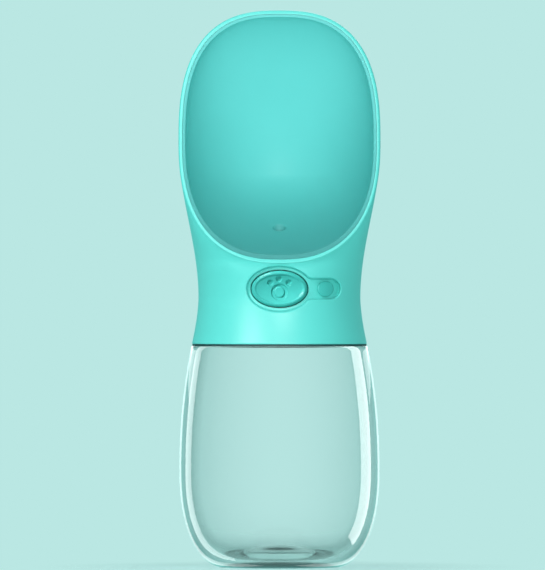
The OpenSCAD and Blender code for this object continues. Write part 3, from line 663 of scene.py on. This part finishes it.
def bowl_rings(k, around, inward, edge):
    """Rings from the rim to the bowl's deepest place, first the rounded edge where there is one."""
    w, up, down, _ = bowl_sizes(k)
    rings = []
    angles = [-90 + 360 * i / around for i in range(around)]

    def outline(a, grow):
        folded = a if a <= 90 else 180 - a
        x, z = egg(folded, w + grow, up + grow, down + grow)
        return (x if a <= 90 else -x), z

    for f in ((0, 18, 36, 54, 72, 90) if edge > 0 else ()):
        ring = []
        for a in angles:
            x, z = outline(a, edge * (1 - sind(f)))
            ring.append((x, rim_y(z) + edge * (1 - cosd(f)), z))
        rings.append(ring)
    first = 4.5 if edge > 0 else 0
    for i in range(inward):
        s = cosd(mix(first, 90, i / inward))
        ring = []
        for a in angles:
            x, z = outline(a, 0)
            x, z = x * s, mix(bowl_deep_z, z, s)
            y = bowl_surface(x, z, k)
            ring.append((x, max(y, rim_y(z) + edge) if edge > 0 else y, z))
        rings.append(ring)
    return rings, (0, bowl_surface(0, bowl_deep_z, k), bowl_deep_z)


def make_bowl_skins(around=240):
    """The bowl's wall: the outer skin, the rounded edge and the inner skin in one run of rings."""
    inner, deep_in = bowl_rings(1, around, 70, 0.35)
    outer, deep_out = bowl_rings(0, around, 36, 0)
    rings = outer[::-1] + inner
    points = [p for ring in rings for p in ring] + [deep_out, deep_in]
    faces = ring_faces(len(rings), around)
    last = (len(rings) - 1) * around
    for j in range(around):
        k = (j + 1) % around
        faces.append([j, k, len(points) - 2])
        faces.append([last + j, last + k, len(points) - 1])
    return new_object("drinking_bowl", points, faces, 0)


def port_ring(radius, height):
    """A ring round the water port's axis, with a height for each point seen from above."""
    ring = [(radius * x, outlet_y + radius * y) for x, y in circle(96)]
    return [(x, y, height(x, y)) for x, y in ring]


def make_bowl():
    """The bowl with its spigot and the water port through both."""
    bowl = make_bowl_skins()
    low = button_z + nipple_rise + 1
    r, bevel, root = port_r + spigot_t, 0.15, 0.5
    rings = [port_ring(r - bevel, lambda x, y: low), port_ring(r, lambda x, y: low + bevel),
             port_ring(r, lambda x, y: low + 4), port_ring(r, lambda x, y: bowl_height(x, y, 0) + root)]
    boolean(bowl, loft("spigot", rings), "UNION")
    edge, first = 0.45, 20
    profile = [(edge + 1.2, -2.5), (edge * (1 - sind(first)) + 0.35, -0.13)]
    profile += [(edge * (1 - sind(f)), edge * (1 - cosd(f))) for f in np.linspace(first, 90, 7)]
    rings = [port_ring(port_r + out, lambda x, y, d=down: bowl_height(x, y, 1) - d) for out, down in profile]
    rings.append(port_ring(port_r, lambda x, y: low - 1))
    boolean(bowl, loft("port", rings), "DIFFERENCE")
    weld(bowl)
    shade(bowl, 35)
    return bowl


bowl = make_bowl()


# ---------------------------------------------------------------- bottle
def belly_up(z):
    return belly_r - (belly_r - shoulder_r) * ((z - belly_z) / (shoulder_z - belly_z)) ** belly_n_up


def belly_low(z):
    return foot_r + (belly_r - foot_r) * (1 - ((belly_z - z) / belly_z) ** belly_n_low) ** (1 / base_n)


def bottle_outside():
    """The outer side, from the hollow under the foot to the mouth's edge."""
    steep, foot_bend, fillet, neck_foot, lip = 84, 0.9, 0.5, 0.4, 0.4
    line = [(0, punt_h)]
    line += [(punt_r * sind(a), punt_h * cosd(a)) for a in np.linspace(0, steep, 22)[1:]]
    line += [(punt_r * sind(steep) + foot_bend * (1 - cosd(a)), punt_h * cosd(steep) * (1 - sind(a)))
             for a in np.linspace(0, 90, 8)[1:]]
    line += [(foot_r - 0.2, 0)]
    line += [(belly_low(z), z) for z in (belly_z * (1 - sind(a)) for a in np.linspace(88.5, 0, 48))]
    line += [(belly_up(z), z) for z in np.linspace(belly_z, shoulder_z - fillet, 36)[1:]]
    line += [(belly_up(shoulder_z) - fillet * (1 - cosd(a)), shoulder_z - fillet * (1 - sind(a)))
             for a in np.linspace(0, 90, 8)[1:]]
    line += [(neck_r + out * neck_foot, shoulder_z + up * neck_foot)
             for out, up in ((1, 0), (0.3, 0.3), (0, 1))]
    line += [(neck_r, neck_z - lip)]
    line += [(neck_r - lip * (1 - cosd(a)), neck_z - lip * (1 - sind(a))) for a in np.linspace(0, 90, 6)[1:]]
    line += [(mouth_r + lip * (1 - sind(a)), neck_z - lip * (1 - cosd(a))) for a in np.linspace(0, 90, 6)]
    return line


def bottle_inside():
    """The inner side, from the mouth to the middle of the floor."""
    wall, bend, punt_top = bottle_wall, 0.4, punt_h + bottle_wall
    under = shoulder_z - SHOULDER_T
    side = belly_up(under - bend) - wall
    line = [(mouth_r + out, under + up) for out, up in ((0, 1.6), (0.2, 1.0), (0.9, 0.35), (2.5, 0))]
    line += [(side - bend + bend * sind(a), under - bend * (1 - cosd(a))) for a in np.linspace(0, 90, 5)]
    line += [(belly_up(z) - wall, z) for z in np.linspace(under - bend, belly_z, 34)[1:]]
    line += [(belly_low(belly_z * (1 - s)) - wall, belly_z - (belly_z - wall) * s)
             for s in (sind(a) for a in np.linspace(0, 88.5, 46)[1:])]
    line += [((punt_r + punt_spread) * sind(a), wall + (punt_top - wall) * cosd(a) ** 2)
             for a in np.linspace(86, 0, 24)[:-1]]
    return line + [(0, punt_top)]


def make_thread(per_turn=72, fade_steps=9):
    """The bottle's thread: a helix with a rounded section that runs out at both ends."""
    first_z = shoulder_z + 2.2
    section = [(d, -h) for d, h in THREAD_HALF] + list(THREAD_HALF[::-1])
    steps = round(thread_turns * per_turn)
    points = []
    for i in range(steps + 1):
        a = 360 * thread_turns * i / steps
        fade = smooth(min(i, steps - i) / fade_steps)
        for d, h in section:
            r = neck_r + (d if d < 0 else d * fade)
            points.append((r * cosd(a), r * sind(a), first_z + thread_pitch * a / 360 + h))
    return new_object("thread", points, tube_faces(steps, len(section)), 0)


def make_bottle():
    """The clear bottle, hollow, with its thread."""
    body = lathe("clear_bottle", bottle_outside() + bottle_inside(), 256, smooth_angle=0)
    boolean(body, make_thread(), "UNION")
    weld(body)
    shade(body, 35)
    return body


bottle = make_bottle()


# ---------------------------------------------------------------- button
def button_depth(x, h):
    """How far the button's face lies below its crown: a dish inside a narrow border, with a sunk paw."""
    a, b = button_w - DISH_BORDER, button_h - DISH_BORDER
    e = math.hypot(x / a, h / b)
    dish = DISH_STEP * smooth((1 - e) * b / DISH_SLOPE) + DISH_DEPTH * max(1 - e * e, 0)
    toes = max(smooth((r - math.hypot(x - tx, h - th)) / PAW_SLOPE) for tx, th, r in TOES)
    d = math.hypot(x, h - HEEL_H)
    heel = smooth((HEEL_R - d) / PAW_SLOPE)
    disc = DISC_RISE * smooth((DISC_R - d) / PAW_SLOPE) + DISC_CROWN * max(1 - (d / DISC_R) ** 2, 0)
    return dish + max(PAW_DEPTH * toes, PAW_DEPTH * heel - disc)


def make_button(grow=96):
    """The hollow button, as rings from the inside of its front over the skirt to the middle of its face."""
    oval = circle(320)
    inner_y = -waist_r + 4
    w_in, h_in = button_w - button_wall, button_h - button_wall
    point = 0.00024                     # size of the first ring, which stands for the middle

    def flat(w, h, y):
        return [(w * cx, y, button_z + h * ch) for cx, ch in oval]

    def front(w, h, depth):
        """A ring at a depth below the crown, which follows the neck's curve."""
        out = []
        for cx, ch in oval:
            r = button_front - depth(w * cx, h * ch)
            out.append((w * cx, -math.sqrt(r * r - (w * cx) ** 2), button_z + h * ch))
        return out

    rings = [flat(point, point, inner_y), flat(w_in * 0.96, h_in * 0.94, inner_y),
             flat(w_in, h_in, inner_y + 0.35), flat(w_in, h_in, skirt_y - 0.1),
             flat(w_in + 0.1, h_in + 0.1, skirt_y), flat(button_w - 0.2, button_h - 0.2, skirt_y),
             flat(button_w, button_h, skirt_y - 0.2)]
    for f in np.linspace(0, 90, 7):
        inset, down = BUTTON_EDGE * (1 - cosd(f)), BUTTON_EDGE * (1 - sind(f))
        rings.append(front(button_w - inset, button_h - inset, lambda x, h: down))
    for i in range(1, grow + 1):
        share = 1 - i / (grow + 1)
        rings.append(front((button_w - BUTTON_EDGE) * share, (button_h - BUTTON_EDGE) * share, button_depth))
    boss = [(0.03, -waist_r + 3.35), (0.9, -waist_r + 3.6), (0.9, skirt_y - 0.3), (0.75, skirt_y - 0.1),
            (0.2, skirt_y - 0.1), (0.03, skirt_y - 0.3)]
    return join(loft("push_button", rings, 40),
                lathe("button_boss", [(stem_r + out, y) for out, y in boss], 64, axis="y",
                      centre=(0, 0, button_z)))


button = make_button()


# ---------------------------------------------------------------- lock
def make_lock(steps=96):
    """The round knob, the neck that runs through the slot and the plate behind it."""
    edge, top = KNOB_EDGE, waist_r - KNOB_SUNK
    profile = [((knob_r - edge) * s, KNOB_CROWN * s * s) for s in np.linspace(0, 1, 12)[1:]]
    profile += [(knob_r - edge * (1 - sind(a)), KNOB_CROWN + edge * (1 - cosd(a)))
                for a in np.linspace(8, 90, 9)]

    def ring(r, radius):
        return place_on([(knob_x + r * x, r * h) for x, h in circle(steps)], lambda x, z: radius)

    rings = [ring(r, top - low) for r, low in profile] + [ring(knob_r, recess_r + slip)]
    knob = loft("lock_knob", rings, 35)
    neck_a, neck_tall, plate_a, plate_tall = 2.7, 1.3, 6, 3
    neck = arc_block("lock_neck", pad_r - 0.4, recess_r + 0.6, knob_angle - neck_a, knob_angle + neck_a,
                     -neck_tall, neck_tall)
    plate = arc_block("lock_plate", pad_r - 1.4, pad_r - slip, knob_angle - plate_a, knob_angle + plate_a,
                      -plate_tall, plate_tall, round_by=0.25)
    return join(knob, neck, plate)


lock = make_lock()

# ---------------------------------------------------------------- valve spring
spring_lo, spring_hi = [[c / MM for c in corner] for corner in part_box("valve_spring")]


def make_spring(per_turn=56, sides=14):
    """The compression spring behind the valve, along Y, as one tube with flat ends."""
    half = SPRING_WIRE / 2
    radius = (spring_hi[0] - spring_lo[0]) / 2 - half
    count = round(SPRING_TURNS * per_turn)
    points = []
    for i in range(count + 1):
        a = 360 * i / per_turn
        y = mix(spring_lo[1] + half, spring_hi[1] - half, i / count)
        for k in range(sides):
            b = 360 * k / sides
            r = radius + half * cosd(b)
            points.append((r * cosd(a), y + half * sind(b), button_z + r * sind(a)))
    return new_object("valve_spring_coil", points, tube_faces(count, sides))


spring = make_spring()

# ---------------------------------------------------------------- materials
def srgb(r, g, b):
    def linear(c):
        c /= 255
        return c / 12.92 if c <= 0.04045 else ((c + 0.055) / 1.055) ** 2.4
    return linear(r), linear(g), linear(b), 1.0


def shader(owner):
    """The nodes of a material or of the world, with one helper that adds a node and one that links two."""
    owner.use_nodes = True
    tree = owner.node_tree

    def add(kind, **values):
        node = tree.nodes.new(kind)
        set_inputs(node, values)
        return node

    def link(source, output, target, socket):
        tree.links.new(source.outputs[output], target.inputs[socket])

    return tree.nodes, add, link


def set_inputs(node, values):
    for socket, value in values.items():
        node.inputs[socket.replace("_", " ")].default_value = value


def set_ramp(node, first, last, between=()):
    """Gives a colour ramp its stops, each of them a place and a colour."""
    stops = node.color_ramp.elements
    for stop, (place, colour) in ((stops[0], first), (stops[1], last)):
        stop.position, stop.color = place, colour
    for place, colour in between:
        stops.new(place).color = colour


def material(name, colour, colour_far, roughness, rough_range, bump, **sockets):
    """Plastic, rubber or metal whose colour, gloss and surface all vary a little over the piece."""
    patches, grain, relief = 22, 900, 0.0002
    mat = bpy.data.materials.new(name)
    nodes, add, link = shader(mat)
    bsdf = nodes["Principled BSDF"]
    set_inputs(bsdf, sockets)
    coord = add("ShaderNodeTexCoord")
    broad = add("ShaderNodeTexNoise", Scale=patches, Detail=3)
    link(coord, "Object", broad, "Vector")
    ramp = add("ShaderNodeValToRGB")
    set_ramp(ramp, (0.3, colour), (0.7, colour_far))
    link(broad, "Fac", ramp, "Fac")
    link(ramp, "Color", bsdf, "Base Color")
    fine = add("ShaderNodeTexNoise", Scale=grain, Detail=4)
    link(coord, "Object", fine, "Vector")
    spread = add("ShaderNodeMapRange", To_Min=roughness - rough_range, To_Max=roughness + rough_range)
    link(fine, "Fac", spread, "Value")
    link(spread, "Result", bsdf, "Roughness")
    uneven = add("ShaderNodeBump", Strength=bump, Distance=relief)
    link(fine, "Fac", uneven, "Height")
    link(uneven, "Normal", bsdf, "Normal")
    return mat


def clear_plastic():
    """The bottle's plastic, with absorption in its volume and a colour that darkens where it is seen at a
    flat angle, as painted shade along its edges.
    """
    mat = bpy.data.materials.new("clear_plastic")
    nodes, add, link = shader(mat)
    bsdf = nodes["Principled BSDF"]
    set_inputs(bsdf, {"Transmission Weight": 1.0, "IOR": 1.5})
    # the colour darkens towards the silhouette: painted shade for the dark bands along the bottle's edges
    facing = add("ShaderNodeLayerWeight", Blend=0.5)
    tint = add("ShaderNodeValToRGB")
    set_ramp(tint, (0, (1, 1, 1, 1)), (1, (0.80, 0.86, 0.86, 1)),
             ((0.15, (0.94, 0.955, 0.955, 1)), (0.47, (0.80, 0.85, 0.845, 1)),
              (0.68, (0.38, 0.44, 0.435, 1))))
    link(facing, "Facing", tint, "Fac")
    link(tint, "Color", bsdf, "Base Color")
    coord = add("ShaderNodeTexCoord")
    noise = add("ShaderNodeTexNoise", Scale=60, Detail=3)
    link(coord, "Object", noise, "Vector")
    spread = add("ShaderNodeMapRange", To_Min=0.012, To_Max=0.03)
    link(noise, "Fac", spread, "Value")
    link(spread, "Result", bsdf, "Roughness")
    absorb = add("ShaderNodeVolumeAbsorption", Color=(0.02, 0.16, 0.14, 1), Density=5)
    link(absorb, "Volume", nodes["Material Output"], "Volume")
    return mat


mint = material("mint_gloss", srgb(94, 213, 205), srgb(90, 209, 201), 0.40, 0.03, 0.02,
                Specular_IOR_Level=0.65)
bowl_mint = material("mint_bowl", srgb(111, 212, 209), srgb(107, 208, 205), 0.5, 0.04, 0.03,
                     Specular_IOR_Level=0.15)
# a darker copy of the head's mint plastic for the button and the lock's knob: painted shade, as both sit
# sunk in the recess
shaded_mint = material("mint_button_painted_shade", srgb(68, 188, 180), srgb(64, 184, 176), 0.36, 0.03, 0.02,
                     Specular_IOR_Level=0.4)
rubber = material("dark_silicone", srgb(14, 54, 58), srgb(9, 44, 48), 0.55, 0.08, 0.1)
natural = material("natural_plastic", srgb(232, 236, 232), srgb(222, 228, 224), 0.5, 0.06, 0.08)
steel = material("spring_steel", srgb(200, 203, 207), srgb(180, 184, 189), 0.28, 0.08, 0.05, Metallic=1.0)
clear = clear_plastic()


def dress(obj, mat):
    obj.data.materials.clear()
    obj.data.materials.append(mat)


for obj, mat, body, node, slot in (
        (spring, steel, "head", "valve_spring", "spring_steel"),
        (head, mint, "head", "head_shell", "mint_plastic"),
        (bowl, bowl_mint, "head", "bowl_liner", "mint_plastic"),
        (bottle, clear, "bottle", "bottle", "clear_plastic"),
        (button, shaded_mint, "button", "button", "mint_plastic"),
        (lock, shaded_mint, "lock", "lock_slider", "mint_plastic")):
    dress(obj, mat)
    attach(obj, body)
    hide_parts(node)
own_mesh(spring)
bottle.visible_shadow = False

SLOT_LOOKS = {"clear_plastic": clear, "mint_plastic": mint, "natural_plastic": natural,
              "dark_silicone": rubber, "spring_steel": steel}
for name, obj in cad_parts.items():
    for s in obj.material_slots:
        base = s.material.name.split(".")[0] if s.material else ""
        if base in SLOT_LOOKS:
            s.material = SLOT_LOOKS[base]

# ---------------------------------------------------------------- floor, world and lights
BACKDROP = srgb(186, 231, 227)
FLOOR_FADE = (0.02, 0.10)               # metres from the bottle over which the floor melts into the world

FLOOR_RINGS = (0.02, 0.1, 0.25, 0.5, 1.0, 2.5, 6.0)


def floor_paper():
    """The floor: a ring of shade under the bottle's foot, and the world's colour from FLOOR_FADE on."""
    mat = bpy.data.materials.new("floor_paper")
    nodes, add, link = shader(mat)
    bsdf = nodes["Principled BSDF"]
    set_inputs(bsdf, {"Roughness": 0.85, "Specular IOR Level": 0.1})
    coord = add("ShaderNodeTexCoord")
    away = add("ShaderNodeVectorMath")
    away.operation = "LENGTH"
    link(coord, "Object", away, 0)
    # the clear bottle casts no shadow, so the shade under its foot is painted; 0.5 is the foot's edge
    foot_shade = (0.10, 0.15, 0.145, 1)
    shade_ring = add("ShaderNodeValToRGB")
    shade_ring.color_ramp.interpolation = "EASE"
    set_ramp(shade_ring, (0.38, BACKDROP), (0.56, BACKDROP), ((0.44, foot_shade), (0.51, foot_shade)))
    reach = add("ShaderNodeMath")
    reach.operation = "MULTIPLY"
    reach.inputs[1].default_value = 1 / (2 * foot_r * MM)
    link(away, "Value", reach, 0)
    link(reach, "Value", shade_ring, "Fac")
    link(shade_ring, "Color", bsdf, "Base Color")
    fade = add("ShaderNodeMapRange", From_Min=FLOOR_FADE[0], From_Max=FLOOR_FADE[1])
    fade.interpolation_type = "SMOOTHSTEP"
    link(away, "Value", fade, "Value")
    # only the camera, straight or through the clear bottle, sees the floor melt away
    path = add("ShaderNodeLightPath")
    seen = add("ShaderNodeMath")
    seen.operation = "MAXIMUM"
    link(path, "Is Camera Ray", seen, 0)
    link(path, "Is Transmission Ray", seen, 1)
    both = add("ShaderNodeMath")
    both.operation = "MULTIPLY"
    link(fade, "Result", both, 0)
    link(seen, "Value", both, 1)
    glow = add("ShaderNodeEmission", Color=BACKDROP)
    blend = add("ShaderNodeMixShader")
    link(both, "Value", blend, "Fac")
    link(bsdf, "BSDF", blend, 1)
    link(glow, "Emission", blend, 2)
    link(blend, "Shader", nodes["Material Output"], "Surface")
    return mat


rings = [[(r * x, r * y, 0) for x, y in circle(96)] for r in FLOOR_RINGS]
mesh = bpy.data.meshes.new("floor")
mesh.from_pydata([p for ring in rings for p in ring], [],
                 ring_faces(len(rings), len(rings[0]), True, mirror_caps=False))
mesh.materials.append(floor_paper())
floor = bpy.data.objects.new("floor", mesh)
scene.collection.objects.link(floor)
floor.visible_glossy = False


def studio_world():
    """The backdrop's colour to the eye, a deeper tint in what mirrors it, and a dim light for the rest."""
    world = bpy.data.worlds.new("studio")
    nodes, add, link = shader(world)
    nodes.clear()
    path = add("ShaderNodeLightPath")
    light = add("ShaderNodeBackground", Color=(0.93, 0.98, 1.0, 1), Strength=0.3)
    shown = add("ShaderNodeBackground")
    around = add("ShaderNodeMix")
    around.data_type = "RGBA"
    set_inputs(around, {"A": BACKDROP, "B": srgb(120, 214, 208)})
    mirrored = add("ShaderNodeMath")
    mirrored.operation = "SUBTRACT"
    mirrored.use_clamp = True
    link(path, "Is Glossy Ray", mirrored, 0)
    link(path, "Is Transmission Ray", mirrored, 1)
    link(mirrored, "Value", around, "Factor")
    link(around, "Result", shown, "Color")
    blend = add("ShaderNodeMixShader")
    link(path, "Is Diffuse Ray", blend, "Fac")
    link(shown, "Background", blend, 1)
    link(light, "Background", blend, 2)
    link(blend, "Shader", add("ShaderNodeOutputWorld"), "Surface")
    return world


scene.world = studio_world()


def only(name, members, state):
    """A light's list of the objects that it lights, or leaves out."""
    group = bpy.data.collections.new(name)
    for obj in members:
        group.objects.link(obj)
    for link in group.collection_objects:
        link.light_linking.link_state = state
    return group


def lamp(name, kind, energy, place, aim, receivers):
    """A lamp that shines from its place at its aim, on the receivers alone."""
    obj = bpy.data.objects.new(name, bpy.data.lights.new(name, kind))
    obj.data.energy = energy
    obj.location = place
    obj.rotation_euler = (Vector(aim) - Vector(place)).to_track_quat("-Z", "Y").to_euler()
    obj.light_linking.receiver_collection = receivers
    scene.collection.objects.link(obj)
    return obj


def softbox(name, azimuth, elevation, away, size, white, receivers, aim_z=0.11):
    """An area lamp. Azimuth is from the front towards +X, and white is how bright it makes a white card."""
    place = (away * sind(azimuth) * cosd(elevation), -away * cosd(azimuth) * cosd(elevation),
             aim_z + away * sind(elevation))
    obj = lamp(name, "AREA", white * (math.pi * away) ** 2, place, (0, 0, aim_z), receivers)
    obj.data.shape, obj.data.size, obj.data.size_y = "RECTANGLE", *size
    obj.visible_camera = False
    return obj


def spotlight(name, place, aim, cone, watts, receivers):
    """A round lamp with a soft edge. The cone is in degrees."""
    obj = lamp(name, "SPOT", watts, place, aim, receivers)
    obj.data.spot_size, obj.data.spot_blend = math.radians(cone), 1.0
    obj.data.shadow_soft_size = 0.02


not_clear = only("all_but_the_clear_bottle", [bottle], "EXCLUDE")
head_and_inside = only("all_but_bottle_bowl_button", [bottle, bowl, button], "EXCLUDE")
bowl_alone = only("the_bowl_alone", [bowl], "INCLUDE")
bottle_alone = only("the_clear_bottle_alone", [bottle], "INCLUDE")
# name, azimuth, elevation, metres away, size in metres, how bright, what it lights
softbox("key", -38, 30, 2.3, (1.0, 1.0), 0.55, head_and_inside)
softbox("front_fill", 5, 5, 2.6, (0.9, 0.7), 0.46, head_and_inside, aim_z=0.15)
softbox("neck_gleam", -44, 0, 0.5, (0.12, 0.38), 0.15, head_and_inside, aim_z=0.205).visible_diffuse = False
softbox("bowl_fill", 0, -3, 1.6, (0.5, 0.5), 0.17, bowl_alone, aim_z=0.15)
softbox("back_bar", 180, 14, 0.6, (1.2, 0.07), 0.10, bottle_alone, aim_z=0.0).visible_transmission = False
softbox("top", 0, 80, 1.5, (1.0, 1.0), 0.12, not_clear)
softbox("back", 165, 30, 2.0, (1.2, 1.2), 0.25, not_clear)
# upright strips beside and behind the clear bottle: name, azimuth, width, strength, low end
STRIP_AWAY, STRIP_TOP = 0.55, 0.85
for name, azimuth, width, strength, low_end in (
        ("right_strip", 117, 0.22, 6, -0.27), ("left_strip", -128, 0.15, 4.5, -0.75),
        ("right_edge", 162, 0.16, 1.8, -0.75), ("left_edge", -162, 0.16, 1.8, -0.75)):
    strip = softbox(name, azimuth, 0, STRIP_AWAY, (width, STRIP_TOP - low_end), strength * width,
                    bottle_alone, aim_z=(low_end + STRIP_TOP) / 2)
    strip.visible_transmission = False

button_mid = Vector((0, -waist_r, button_z)) * MM
button_lamp, button_aim = button_mid + Vector((-0.45, -0.5, 0.52)), button_mid + Vector((0.0095, 0, -0.004))
bowl_lamp_z = 0.178
spotlight("bowl_light", (0, -1.6, bowl_lamp_z), (0, 0, bowl_lamp_z), 5.0, 62, bowl_alone)
spotlight("button_light", button_lamp, button_aim, 2.0, 140, only("the_button_alone", [button], "INCLUDE"))
